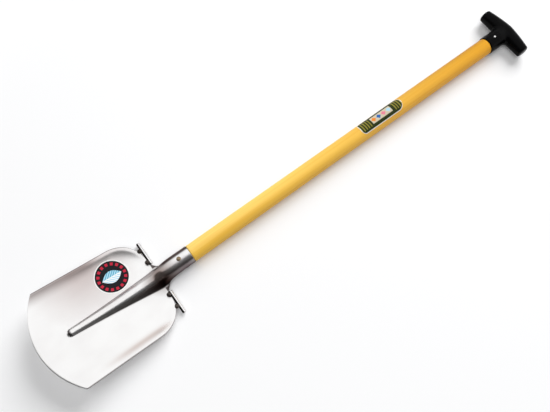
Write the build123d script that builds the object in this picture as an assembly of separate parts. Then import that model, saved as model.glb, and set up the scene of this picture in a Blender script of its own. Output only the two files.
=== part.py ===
from build123d import *
import os
from math import asin, cos, pi, radians, sin, sqrt, tan

# Working frame: Y runs up the shaft to the grip, Z out of the blade's front, X across.
# The shaft's axis is the Y axis and the foot treads lie at y = 0. Millimetres and degrees.

# Shaft
shaft_diameter = 36.0
socket_mouth_y = 73.0
grip_mouth_y = 858.0
shoulder_rounding = 2.5
tenon_clearance = 0.2
tenon_foot_y = 24.0
tenon_foot_taper = 10.0
tenon_foot_drop = 3.0
upper_tenon_diameter = 31.0
upper_tenon_length = 46.0

# Blade sheet: half widths are those of the front edge of the rim
sheet = 2.0
corner_half_width = 104.1
shoulder_half_width = 100.9
blade_length = 250.0
cutting_radius = 156.0
shoulder_radius = 57.0
lift_angle = 13.1
floor_depth = 15.9
neck_half_width = 33.5
neck_flare = 19.0
trim_margin = 10.0

# Dish of the blade: width of the bend and height of the rim above the floor
bend_width = 22.0
rim_height_shoulder = 8.9
rim_height_corner = 2.3
rim_height_top = 2.5
rim_height_least = 0.15
rim_run_on = 0.3
rim_blend = 0.7
shoulder_steps = 6
shoulder_lap = 0.5

# Rib and socket, rolled from the same sheet
heel_depth = 19.5
heel_crush = 0.5
rib_length = 183.5
rib_root_half = 21.0
rib_tip_half = 7.7
rib_root_height = 29.0
rib_tip_height = 4.5
socket_mouth_radius = 18.2
socket_throat_radius = 18.5
socket_throat_y = 42.0
socket_seam = 1.5
neck_y = 21.0
crest_start = 12.0
heel_squash = 0.6
rib_taper = 1.2
bell_fullness = 0.3
bell_onset = 2.5
bell_waist = 0.35
bell_foot = 1.3
section_steps = 4
neck_steps = 8
rib_steps = 7

# Foot treads
tread_diameter = 8.0
tread_inner_x = 33.5
tread_outer_x = 84.0
tread_chamfer = 0.6
weld_inner_x = 39.0
weld_outer_x = 67.0
weld_inner_lean = -0.4
weld_outer_lean = 0.35
weld_diameter = 9.0
weld_lift = 1.0

# Rivet through the socket
rivet_y = 49.0
rivet_diameter = 5.0
rivet_head_diameter = 9.0
rivet_head_height = 2.4
rivet_length = 28.0

# Grip
grip_neck_diameter = 39.0
grip_bore_clearance = 0.1
bar_centre_y = 918.0
bar_end_y = 913.0
bar_middle_radius = 17.5
bar_end_radius = 13.8
bar_half_length = 61.8
bar_apex_half = 11.0
bar_crown = 0.6
bar_dome = 4.6
throat_start_y = 882.0
throat_half_width = 30.0
throat_steps = 5
pin_y = 877.5
pin_diameter = 4.5
pin_length = 30.0
pin_recess = 0.2
pin_chamfer = 1.0

# Stuck-on labels
label_film = 0.2
disc_label_diameter = 62.0
disc_label_x = -52.5
disc_label_down = 70.0
shaft_label_start_y = 500.0
shaft_label_length = 111.0
shaft_label_turn = 30.0
shaft_label_wrap = 140.0
shaft_label_corner = 9.0

# Sizes that follow from the ones above
edge_y = -tread_diameter / 2
slope = tan(radians(lift_angle))
blade_top = Vector(0, edge_y, -floor_depth - edge_y * slope)
floor_normal = Vector(0, sin(radians(lift_angle)), cos(radians(lift_angle)))
blade_plane = Plane(origin=blade_top, x_dir=(1, 0, 0), z_dir=floor_normal)
corner_down = blade_length - cutting_radius + sqrt(cutting_radius ** 2 - corner_half_width ** 2)
shoulder_x = shoulder_half_width - shoulder_radius
bend_radius_top = (bend_width ** 2 + rim_height_top ** 2) / (2 * rim_height_top)
horn_keel = 3 * sheet
trim_depth = 4 * bend_width
trim_length = 3 * blade_length


def smoothstep(value):
    """Ease from 0 to 1 with level ends."""
    held = min(max(value, 0.0), 1.0)
    return held * held * (3 - 2 * held)


def mix(start, end, share):
    """Value so far from start to end."""
    return start + (end - start) * share


def bend_section(place, outward, height, reach=bend_width, lap=0.0):
    """Section of the turned-up rim: an arc that leaves the floor level, one sheet thick.

    With a lap, the section starts that far inside the bend, on the floor.
    """
    radius = (bend_width ** 2 + height ** 2) / (2 * height)
    turn = asin(reach / radius)
    back = radius + sheet
    plane = Plane(origin=place, x_dir=outward, z_dir=outward.cross(Vector(0, 0, 1)))
    front_end = (radius * sin(turn), radius - radius * cos(turn))
    back_end = (back * sin(turn), radius - back * cos(turn))
    start = [(0, -sheet), (-lap, -sheet), (-lap, 0), (0, 0)] if lap else [(0, -sheet), (0, 0)]
    with BuildSketch(plane) as section:
        with BuildLine():
            Polyline(*start)
            ThreePointArc((0, 0), (radius * sin(turn / 2), radius - radius * cos(turn / 2)), front_end)
            Line(front_end, back_end)
            ThreePointArc(back_end, (back * sin(turn / 2), radius - back * cos(turn / 2)), (0, -sheet))
        make_face()
    return section.sketch


def side_rim():
    """Right-hand rim, lower towards the cutting edge."""
    bend_top = Vector(shoulder_half_width - bend_width, -shoulder_radius, 0)
    bend_corner = Vector(corner_half_width - bend_width, -corner_down, 0)
    low = bend_corner + (bend_corner - bend_top) * rim_run_on
    low_height = mix(rim_height_corner, rim_height_shoulder, -rim_run_on)
    outward = Vector(1, 0, 0)
    return loft([bend_section(bend_top, outward, rim_height_shoulder),
                 bend_section(low, outward, max(low_height, rim_height_least))], ruled=True)


def shoulder_rim():
    """Rim round the right-hand shoulder, sinking towards the top edge."""
    centre = Vector(shoulder_x, -shoulder_radius, 0)
    inner = shoulder_radius - bend_width
    sections = []
    for step in range(shoulder_steps + 1):
        angle = radians(90 * step / shoulder_steps)
        outward = Vector(cos(angle), sin(angle), 0)
        share = smoothstep(cos(angle) / rim_blend)
        height = mix(rim_height_top, rim_height_shoulder, share)
        sections.append(bend_section(centre + outward * inner, outward, height, lap=shoulder_lap))
    return loft(sections) - Location(centre) * Cylinder(inner, trim_depth)


def top_rim():
    """Rim along the top edge, with the neck's wings that run up to the socket."""
    outward = Vector(0, 1, 0)
    strip = extrude(bend_section(Vector(-shoulder_x, -bend_width, 0), outward, rim_height_top),
                    amount=2 * shoulder_x, dir=(1, 0, 0))
    wing = extrude(bend_section(Vector(-neck_half_width, -bend_width, 0), outward, rim_height_top,
                                bend_width + neck_flare), amount=2 * neck_half_width, dir=(1, 0, 0))
    narrow = rib_root_half - sheet
    with BuildSketch() as flare:
        with BuildLine():
            Polyline((-neck_half_width, 0), (-narrow, neck_flare), (narrow, neck_flare),
                     (neck_half_width, 0), (narrow, -bend_width), (-narrow, -bend_width), close=True)
        make_face()
    return strip + (wing & extrude(flare.sketch, amount=trim_depth, both=True))


def floor_slab():
    """Flat floor inside the bend."""
    far = -blade_length - bend_width
    grow = (corner_half_width - shoulder_half_width) / (corner_down - shoulder_radius)
    near_x = shoulder_half_width - bend_width
    far_x = near_x + grow * (-far - shoulder_radius)
    with BuildSketch() as outline:
        with BuildLine():
            Line((-far_x, far), (far_x, far))
            Line((far_x, far), (near_x, -shoulder_radius))
            CenterArc((shoulder_x, -shoulder_radius), shoulder_radius - bend_width, 0, 90)
            Line((shoulder_x, -bend_width), (-shoulder_x, -bend_width))
            CenterArc((-shoulder_x, -shoulder_radius), shoulder_radius - bend_width, 90, 90)
            Line((-near_x, -shoulder_radius), (-far_x, far))
        make_face()
    return extrude(outline.sketch, amount=-sheet)


def cutting_edge():
    """Everything that stays above the rounded cutting edge."""
    wide = corner_half_width + trim_margin
    low = blade_length - cutting_radius + sqrt(cutting_radius ** 2 - wide ** 2)
    with BuildSketch() as kept:
        with BuildLine():
            ThreePointArc((-wide, -low), (0, -blade_length), (wide, -low))
            Polyline((wide, -low), (wide, trim_depth), (-wide, trim_depth), (-wide, -low))
        make_face()
    return extrude(kept.sketch, amount=trim_depth, both=True)


def pressed_sheet():
    """Dished blade sheet with a flat floor, cut to its outline, in its place."""
    right = side_rim() + shoulder_rim()
    flat = floor_slab() + top_rim() + right + mirror(right, about=Plane.YZ)
    return blade_plane.location * (flat & cutting_edge())


def floor_z(y):
    """Height of the blade floor's front at y, measured from the shaft's axis."""
    return -floor_depth - y * slope


def neck_rise(y):
    """How far the top bend lifts the sheet's front above the floor at y."""
    reach = min(max((y - edge_y) / cos(radians(lift_angle)) + bend_width, 0.0), bend_width + neck_flare)
    return bend_radius_top - sqrt(bend_radius_top ** 2 - reach ** 2)


def tube_radius(y):
    """Outside radius of the rolled socket at y."""
    return mix(socket_mouth_radius, socket_throat_radius,
               (socket_mouth_y - y) / (socket_mouth_y - socket_throat_y))


def horn_section(y, inset):
    """Right half of the section across socket or rib at y, inset by a wall.

    The socket is round. Down the blade it sinks into a bell whose feet slope into the sheet.
    """
    down = max(-y, 0.0) / rib_length
    tube = tube_radius(y)
    rib_half = mix(rib_tip_half, rib_root_half, (1 - down) ** rib_taper)
    rib_crest = floor_z(min(y, 0.0)) + mix(rib_tip_height, rib_root_height, (1 - down) ** 2)
    fullness = mix(bell_fullness, 1.0, (1 - down) ** bell_onset)
    half = mix(rib_half, tube, smoothstep(y / socket_throat_y)) - inset * mix(bell_foot, 1.0, fullness)
    crest = mix(rib_crest, tube, smoothstep((y + crest_start) / (crest_start + neck_y))) - inset
    sheet_middle = floor_z(y) + neck_rise(y) - sheet / 2
    base = mix(sheet_middle, 0.0, smoothstep((y - 2 * edge_y) / socket_throat_y))
    heel = mix(heel_depth + heel_crush, tube, smoothstep((y - neck_y) / neck_y))
    low = max(-heel, floor_z(y) - horn_keel) + inset
    squash = mix(heel_squash, 1.0, smoothstep(y / socket_throat_y))
    over = []
    under = []
    for step in range(1, section_steps):
        angle = pi / 2 * step / section_steps
        bell = cos(angle) ** 2 * (1 - bell_waist * sin(angle) ** 2)
        over.append((half * sin(angle), mix(base, crest, mix(bell, cos(angle), fullness))))
        under.append((half * cos(angle) ** squash, mix(base, low, sin(angle) ** squash)))
    with BuildSketch(Plane(origin=(0, y, 0), x_dir=(1, 0, 0), z_dir=(0, -1, 0))) as section:
        with BuildLine():
            Line((0, low), (0, crest))
            Spline((0, crest), *over, (half, base), tangents=[(1, 0), (0, -1)])
            Spline((half, base), *under, (0, low), tangents=[(0, -1), (-1, 0)])
        make_face()
    return section.sketch


def horn_stretch(start, end, steps, inset):
    """Right half of the horn from one y to another."""
    return loft([horn_section(mix(start, end, step / steps), inset) for step in range(steps + 1)])


def horn(inset):
    """Socket and rib as one tapering body with a rounded nose, inset by a wall all round."""
    right = horn_stretch(socket_mouth_y + inset, socket_throat_y, 1, inset)
    right += horn_stretch(socket_throat_y, -neck_y, neck_steps, inset)
    right += horn_stretch(-neck_y, -rib_length, rib_steps, inset)
    nose = revolve(horn_section(-rib_length, inset), Axis((0, -rib_length, 0), (0, 0, 1)))
    return right + mirror(right, about=Plane.YZ) + nose


def rivet_blank():
    """Domed rivet with its shank, before its seat is cut to the socket."""
    seat = tube_radius(rivet_y) - rivet_head_diameter ** 2 / (8 * tube_radius(rivet_y)) - sheet / 2
    rise = rivet_head_height + tube_radius(rivet_y) - seat
    ball = (rivet_head_diameter ** 2 / 4 + rise ** 2) / (2 * rise)
    with BuildPart() as rivet:
        with BuildSketch(Plane.XZ):
            with BuildLine():
                Line((0, seat + rise), (0, seat + rise - rivet_length))
                Line((0, seat + rise - rivet_length), (rivet_diameter / 2, seat + rise - rivet_length))
                Line((rivet_diameter / 2, seat + rise - rivet_length), (rivet_diameter / 2, seat))
                Line((rivet_diameter / 2, seat), (rivet_head_diameter / 2, seat))
                RadiusArc((rivet_head_diameter / 2, seat), (0, seat + rise), -ball)
            make_face()
        revolve(axis=Axis.Z)
    return Pos(0, rivet_y, 0) * rivet.part


def blade_head():
    """Blade, hollow rib and rolled socket as one sheet, with an open seam down the back."""
    block = Box(trim_length, trim_length, trim_depth)
    under_floor = blade_plane.location * Pos(0, 0, -sheet - trim_depth / 2) * block
    under_heel = Pos(0, 0, -heel_depth - trim_depth / 2) * block
    seam_length = socket_mouth_y + sheet
    seam = Pos(0, seam_length / 2, -trim_depth / 2) * Box(socket_seam, seam_length, trim_depth)
    rivet_hole = Pos(0, rivet_y, trim_depth / 2) * Cylinder(rivet_diameter / 2, trim_depth)
    head = pressed_sheet() + horn(0) - under_floor - under_heel
    return head - horn(sheet) - seam - rivet_hole


def tread_place(x):
    """Place of a tread's axis: the rod lies against the middle of the blade's top edge."""
    turn = asin(bend_width / bend_radius_top)
    reach = (bend_radius_top + sheet / 2) * sin(turn) - bend_width + tread_diameter / 2 * cos(turn)
    height = bend_radius_top - (bend_radius_top + sheet / 2) * cos(turn) + tread_diameter / 2 * sin(turn)
    return Vector(x, reach, height)


def tread(side):
    """Round foot tread lying against one half of the blade's top edge."""
    rod = Cylinder(tread_diameter / 2, tread_outer_x - tread_inner_x, rotation=(0, 90, 0))
    rod = chamfer(rod.edges().filter_by(GeomType.CIRCLE), tread_chamfer)
    middle = (tread_inner_x + tread_outer_x) / 2
    return blade_plane.location * Location(tread_place(middle * side)) * rod


def rim_edge(x):
    """Point on the front edge of the rim where it leaves the treads, at x."""
    across = max(abs(x) - shoulder_x, 0.0) / shoulder_radius
    share = smoothstep(across / rim_blend)
    down = shoulder_radius * (1 - sqrt(1 - across ** 2))
    return Vector(x, -down, mix(rim_height_top, rim_height_shoulder, share))


def weld_beads(treads, head):
    """Weld beads in the corners between treads and blade, one solid each."""
    bead = Sphere(weld_diameter / 2)
    beads = []
    for x, lean in ((weld_inner_x, weld_inner_lean), (weld_outer_x, weld_outer_lean)):
        for side in (-1, 1):
            corner = rim_edge(x * side)
            middle = corner + (tread_place(x * side) - corner) * lean
            blob = blade_plane.location * Location(middle + Vector(0, 0, weld_lift)) * bead
            beads.append((blob - treads[0] - treads[1] - head).solids().sort_by(SortBy.VOLUME)[-1])
    return Compound(beads)


def shaft_body(rivet, pin):
    """Straight round shaft with a tenon at each end and its two pin holes."""
    radius = shaft_diameter / 2
    tenon = socket_mouth_radius - sheet - tenon_clearance
    upper = upper_tenon_diameter / 2
    top = grip_mouth_y + upper_tenon_length
    with BuildPart() as body:
        with BuildSketch(Plane.XY):
            with BuildLine():
                Polyline((0, tenon_foot_y), (tenon - tenon_foot_drop, tenon_foot_y),
                         (tenon, tenon_foot_y + tenon_foot_taper), (tenon, socket_mouth_y),
                         (radius - shoulder_rounding, socket_mouth_y))
                RadiusArc((radius - shoulder_rounding, socket_mouth_y),
                          (radius, socket_mouth_y + shoulder_rounding), -shoulder_rounding)
                Polyline((radius, socket_mouth_y + shoulder_rounding), (radius, grip_mouth_y),
                         (upper, grip_mouth_y), (upper, top), (0, top), (0, tenon_foot_y))
            make_face()
        revolve(axis=Axis.Y)
    return body.part - rivet - pin


def grip_pin_body():
    """Headless pin driven from the front through the grip's neck into the shaft."""
    top = grip_neck_diameter / 2 - pin_recess
    pin = Pos(0, pin_y, top - pin_length / 2) * Cylinder(pin_diameter / 2, pin_length)
    return chamfer(pin.edges().group_by(Axis.Z)[0], pin_chamfer)


def bar_section(x, y, radius):
    """Round section of the grip's bar."""
    return Plane(origin=(x, y, 0), x_dir=(0, 1, 0), z_dir=(1, 0, 0)) * Circle(radius)


def grip_throat(share):
    """Oval section where the round neck spreads into the bar, from 0 at the neck to 1."""
    wide = mix(grip_neck_diameter / 2, throat_half_width, smoothstep(share))
    tall = mix(grip_neck_diameter / 2, bar_middle_radius, share)
    y = mix(throat_start_y, bar_centre_y, share)
    return Plane(origin=(0, y, 0), x_dir=(1, 0, 0), z_dir=(0, 1, 0)) * Ellipse(wide, tall)


def grip_body(pin):
    """T grip: two tapering arms with domed ends and a round neck over the shaft's tenon."""
    tip_x = bar_half_length - bar_dome
    knee = 1 - bar_apex_half / tip_x
    knee_radius = mix(bar_end_radius, bar_middle_radius, knee)
    knee_y = mix(bar_end_y, bar_centre_y, knee)
    arm = loft([bar_section(bar_apex_half, knee_y, knee_radius),
                bar_section(tip_x, bar_end_y, bar_end_radius)], ruled=True)
    arm = arm + Pos(tip_x, bar_end_y, 0) * scale(Sphere(bar_end_radius), (bar_dome / bar_end_radius, 1, 1))
    crown_radius = mix(knee_radius, bar_middle_radius, bar_crown)
    middle = loft([bar_section(-bar_apex_half, knee_y, knee_radius),
                   bar_section(0, mix(knee_y, bar_centre_y, bar_crown), crown_radius),
                   bar_section(bar_apex_half, knee_y, knee_radius)])
    neck_radius = grip_neck_diameter / 2
    neck_length = throat_start_y - grip_mouth_y
    neck = Cylinder(neck_radius, neck_length, rotation=(90, 0, 0))
    neck = Pos(0, grip_mouth_y + neck_length / 2, 0) * neck
    throat = loft([grip_throat(step / throat_steps) for step in range(throat_steps + 1)])
    bore_radius = upper_tenon_diameter / 2 + grip_bore_clearance
    bore = Cylinder(bore_radius, upper_tenon_length, rotation=(90, 0, 0))
    bore = Pos(0, grip_mouth_y + upper_tenon_length / 2, 0) * bore
    hole = Pos(0, pin_y, neck_radius / 2) * Cylinder(pin_diameter / 2, neck_radius)
    return middle + arm + mirror(arm, about=Plane.YZ) + neck + throat - bore - hole - pin


def disc_label(head):
    """Round film on the left half of the blade, following its floor and bend."""
    lifted = Location(floor_normal * label_film) * head
    disc = Cylinder(disc_label_diameter / 2, trim_depth)
    disc = blade_plane.location * Pos(disc_label_x, -disc_label_down, 0) * disc
    return (lifted & disc) - head


def wrapped_label():
    """Film wrapped round part of the shaft: a round upper end and rounded lower corners."""
    radius = shaft_diameter / 2
    middle = shaft_label_start_y + shaft_label_length / 2
    film = Cylinder(radius + label_film, shaft_label_length) - Cylinder(radius, shaft_label_length)
    film = Pos(0, middle, 0) * Rot(90, 0, 0) * film
    width = 2 * radius * sin(radians(shaft_label_wrap / 2))
    half = shaft_label_length / 2
    lower = Pos(0, -half / 2) * RectangleRounded(width, half, shaft_label_corner)
    outline = extrude(SlotOverall(shaft_label_length, width, rotation=90) + lower, amount=2 * radius)
    return film & Pos(0, middle, 0) * Rot(0, -shaft_label_turn, 0) * outline


head = blade_head()
treads = [tread(-1), tread(1)]
rivet = rivet_blank() - head
pin = grip_pin_body()
parts = {
    "blade": head,
    "left_tread": treads[0],
    "right_tread": treads[1],
    "tread_welds": weld_beads(treads, head),
    "shaft": shaft_body(rivet, pin),
    "socket_rivet": rivet,
    "grip": grip_body(pin),
    "grip_pin": pin,
    "blade_label": disc_label(head),
    "shaft_label": wrapped_label(),
}

# The finished part stands with the middle of its box's underside at the origin.
box = Compound(list(parts.values())).bounding_box()
place = Pos(-box.center().X, -box.center().Y, -box.min.Z)
os.makedirs("parts", exist_ok=True)
for name, piece in parts.items():
    export_step(place * piece, f"parts/{name}.step")
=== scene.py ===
"""Looks of a digging spade: smooth surfaces, finishes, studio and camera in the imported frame."""
import logging
from dataclasses import dataclass
from enum import Enum

import bmesh
import bpy
import numpy as np
from mathutils import Matrix, Vector

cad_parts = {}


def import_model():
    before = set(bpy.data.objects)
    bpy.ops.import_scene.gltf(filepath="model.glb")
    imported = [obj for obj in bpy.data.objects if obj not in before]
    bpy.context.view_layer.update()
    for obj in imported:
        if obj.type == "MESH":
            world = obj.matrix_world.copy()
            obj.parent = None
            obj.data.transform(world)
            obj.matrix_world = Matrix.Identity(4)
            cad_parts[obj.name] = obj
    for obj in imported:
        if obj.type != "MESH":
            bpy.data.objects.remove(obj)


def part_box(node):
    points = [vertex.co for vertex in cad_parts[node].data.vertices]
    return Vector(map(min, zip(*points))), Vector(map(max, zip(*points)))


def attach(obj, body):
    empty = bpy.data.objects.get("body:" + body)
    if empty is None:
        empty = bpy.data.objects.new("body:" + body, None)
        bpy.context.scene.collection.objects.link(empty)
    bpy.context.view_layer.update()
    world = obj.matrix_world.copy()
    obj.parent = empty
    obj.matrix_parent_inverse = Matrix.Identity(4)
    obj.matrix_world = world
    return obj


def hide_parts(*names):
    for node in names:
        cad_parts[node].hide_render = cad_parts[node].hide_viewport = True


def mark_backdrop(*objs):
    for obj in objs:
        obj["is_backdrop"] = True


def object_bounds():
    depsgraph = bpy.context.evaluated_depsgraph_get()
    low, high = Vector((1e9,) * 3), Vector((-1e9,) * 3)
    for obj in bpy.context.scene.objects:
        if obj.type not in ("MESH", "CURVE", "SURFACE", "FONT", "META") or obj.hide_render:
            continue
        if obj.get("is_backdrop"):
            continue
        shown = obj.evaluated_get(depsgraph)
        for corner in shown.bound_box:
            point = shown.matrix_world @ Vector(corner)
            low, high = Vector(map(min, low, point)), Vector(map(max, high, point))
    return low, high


log = logging.getLogger("spade")

MM = 0.001
WELD_GAP = 2e-6
TINY = 1e-6
NOISE_MIDDLE = (0.3, 0.7)

Grid = np.ndarray
Piece = bpy.types.Object
Socket = bpy.types.NodeSocket
Colour = tuple[float, float, float]
Place = tuple[float, float, float]
Range = tuple[float, float]
Ramp = tuple[tuple[float, Colour], ...]

BLACK: Colour = (0.0, 0.0, 0.0)
WHITE: Colour = (1.0, 1.0, 1.0)


class Side(Enum):
    """The two sides of the spade, seen from the front with the grip up."""

    LEFT = -1
    RIGHT = 1


class Axis(Enum):
    """Axes of the spade that the tints of a finish run along."""

    ACROSS = "X"
    SHAFT = "Y"


def mix(start: Grid | float, end: Grid | float, share: Grid | float) -> Grid:
    """Value a given share of the way from start to end."""
    return start + (end - start) * share


def fade(value: Grid, start: float, full: float) -> Grid:
    """Soft ramp from 0 at the start to 1 at full: with s the share between, s^2 (3 - 2 s)."""
    share = np.clip((value - start) / (full - start), 0.0, 1.0)
    return share * share * (3.0 - 2.0 * share)


def stack(x: Grid, y: Grid, z: Grid) -> Grid:
    """Grid of points from three grids of coordinates."""
    return np.stack(np.broadcast_arrays(x, y, z), axis=-1)


def quarter(count: int) -> Grid:
    """Angles from nothing to a right angle."""
    return np.linspace(0.0, np.pi / 2, count)


def circle(count: int) -> Grid:
    """Angles of a full turn, without the last one that closes it."""
    return np.linspace(0.0, 2 * np.pi, count, endpoint=False)


def profile(radius: Grid | float, height: Grid | float) -> Grid:
    """Rows of (radius, height) for the lathe."""
    return np.stack(np.broadcast_arrays(radius, height), axis=-1)


def dome(radius: float, base: float, rise: float, count: int) -> Grid:
    """Profile of a quarter ellipse, from its rim on the base up to its top."""
    turn = quarter(count)
    return profile(radius * np.cos(turn), base + rise * np.sin(turn))


def lathe(rows: Grid, columns: int) -> Grid:
    """Turn a profile about the Y axis: x = r sin a, y = height, z = r cos a."""
    angle, radius, height = circle(columns), rows[:, :1], rows[:, 1:]
    return stack(radius * np.sin(angle), height + 0 * angle, radius * np.cos(angle))


def lathe_forward(rows: Grid, columns: int, y: float) -> Grid:
    """Turn a profile about the line out of the spade's front at a height on the shaft."""
    turned = lathe(rows, columns)
    return stack(turned[..., 0], y - turned[..., 2], turned[..., 1])


def both_sides(half: Grid) -> Grid:
    """Full rows from their right halves."""
    mirror = half[:, :0:-1] * np.array((-1.0, 1.0, 1.0))
    return np.concatenate([mirror, half], axis=1)


@dataclass(frozen=True)
class Datum:
    """Place of the spade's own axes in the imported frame, in metres.

    The spade's own frame has X across, Y up the shaft and Z out of the blade's front, with the
    shaft's axis along Y and the treads beside the origin. Sizes in it are in millimetres.
    """

    y: float
    z: float

    @classmethod
    def of_shaft(cls, foot_y: float) -> "Datum":
        """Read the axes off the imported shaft, whose lower end is at foot_y in the own frame."""
        low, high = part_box("shaft")
        return cls(low.y - foot_y * MM, (low.z + high.z) / 2)

    @property
    def origin(self) -> Grid:
        """The own frame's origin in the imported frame."""
        return np.array((0.0, self.y, self.z))

    def place(self, points: Grid) -> Grid:
        """Points of the spade's own frame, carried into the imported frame."""
        return points * MM + self.origin

    def spot(self, *point: float) -> Place:
        """One point of the spade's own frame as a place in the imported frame."""
        return tuple(self.place(np.array(point)))

    def box(self, node: str) -> tuple[Grid, Grid]:
        """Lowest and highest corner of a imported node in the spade's own frame."""
        low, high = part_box(node)
        return (np.array(low) - self.origin) / MM, (np.array(high) - self.origin) / MM


@dataclass
class Patch:
    """Grid of points, rows by columns by 3, that becomes one sheet of quads.

    Rows run so that columns crossed with rows point outwards, unless `flip` turns the sheet;
    `wrap` closes the columns, and `ink` is a colour for every point.
    """

    points: Grid
    wrap: bool = False
    flip: bool = False
    ink: Grid | None = None

    def quads(self, first: int) -> Grid:
        """Corner numbers of the quads.

        Args:
            first: Number of the sheet's first vertex.

        Returns:
            A row of four corners for every quad.
        """
        rows, columns = self.points.shape[:2]
        index = first + np.arange(rows * columns).reshape(rows, columns)
        if self.wrap:
            index = np.concatenate([index, index[:, :1]], axis=1)
        corners = (index[:-1, :-1], index[:-1, 1:], index[1:, 1:], index[1:, :-1])
        quads = np.stack(corners, axis=-1).reshape(-1, 4)
        return quads[:, ::-1] if self.flip else quads


def weld(name: str, patches: list[Patch], datum: Datum) -> bpy.types.Mesh:
    """Join sheets into one smooth mesh, with shared edges and poles merged.

    Args:
        name: Name of the mesh.
        patches: Its sheets, in the spade's own frame.
        datum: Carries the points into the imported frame.

    Returns:
        The mesh, with an ink attribute where every sheet has ink.
    """
    counts = np.cumsum([0] + [patch.points[..., 0].size for patch in patches])
    quads = np.concatenate([patch.quads(first) for patch, first in zip(patches, counts)])
    points = np.concatenate([patch.points.reshape(-1, 3) for patch in patches])
    mesh = bpy.data.meshes.new(name)
    mesh.from_pydata(datum.place(points).tolist(), [], quads.tolist())
    if all(patch.ink is not None for patch in patches):
        ink = np.concatenate([patch.ink.reshape(-1, 3) for patch in patches])
        layer = mesh.attributes.new("ink", "FLOAT_COLOR", "POINT")
        layer.data.foreach_set("color", np.pad(ink, ((0, 0), (0, 1)), constant_values=1.0).ravel())
    welded = bmesh.new()
    welded.from_mesh(mesh)
    bmesh.ops.remove_doubles(welded, verts=welded.verts, dist=WELD_GAP)
    welded.to_mesh(mesh)
    welded.free()
    mesh.shade_smooth()
    return mesh


def stand(name: str, data: bpy.types.ID) -> Piece:
    """Put a mesh, lamp or camera into the scene.

    Args:
        name: Name of the new object.
        data: What it shows.

    Returns:
        The object, at the origin.
    """
    made = bpy.data.objects.new(name, data)
    bpy.context.scene.collection.objects.link(made)
    return made


@dataclass(frozen=True)
class Waves:
    """Noise of a finish: waves per metre along X, Y and Z, and octaves of finer noise."""

    x: float
    y: float
    z: float
    detail: float = 3.0


class NodeDesk:
    """A node tree with short calls for the nodes that the finishes and the studio use."""

    def __init__(self, tree: bpy.types.NodeTree) -> None:
        """Work on a tree."""
        self.tree = tree

    def node(self, kind: str, **settings: object) -> bpy.types.Node:
        """New node of a kind.

        Args:
            kind: Blender's name of the node's type.
            **settings: Values of the node's properties.

        Returns:
            The node.
        """
        made = self.tree.nodes.new(kind)
        for key, value in settings.items():
            setattr(made, key, value)
        return made

    def link(self, start: Socket, end: Socket) -> None:
        """Join an output to an input."""
        self.tree.links.new(start, end)

    def remap(self, value: Socket, smooth: bool = False, **limits: float) -> Socket:
        """Carry a value from one range to another.

        Args:
            value: The value.
            smooth: Whether the value leaves and reaches its limits softly.
            **limits: From_Min, From_Max, To_Min and To_Max where they aren't 0 and 1.

        Returns:
            The value in its new range.
        """
        curve = "SMOOTHSTEP" if smooth else "LINEAR"
        made = self.node("ShaderNodeMapRange", interpolation_type=curve)
        for key, limit in limits.items():
            made.inputs[key.replace("_", " ")].default_value = limit
        self.link(value, made.inputs["Value"])
        return made.outputs["Result"]

    def calculate(self, operation: str, first: Socket, second: Socket) -> Socket:
        """Join two values by an operation.

        Args:
            operation: Blender's name of the operation.
            first: First value.
            second: Second value.

        Returns:
            The result.
        """
        made = self.node("ShaderNodeMath", operation=operation)
        self.link(first, made.inputs[0])
        self.link(second, made.inputs[1])
        return made.outputs["Value"]

    def seen(self) -> Socket:
        """Tell the rays that show a surface from those that light one.

        Returns:
            1 for rays of the camera, of reflections and through glass, else 0.
        """
        path = self.node("ShaderNodeLightPath").outputs
        either = self.calculate("MAXIMUM", path["Is Camera Ray"], path["Is Glossy Ray"])
        return self.calculate("MAXIMUM", either, path["Is Transmission Ray"])


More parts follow.
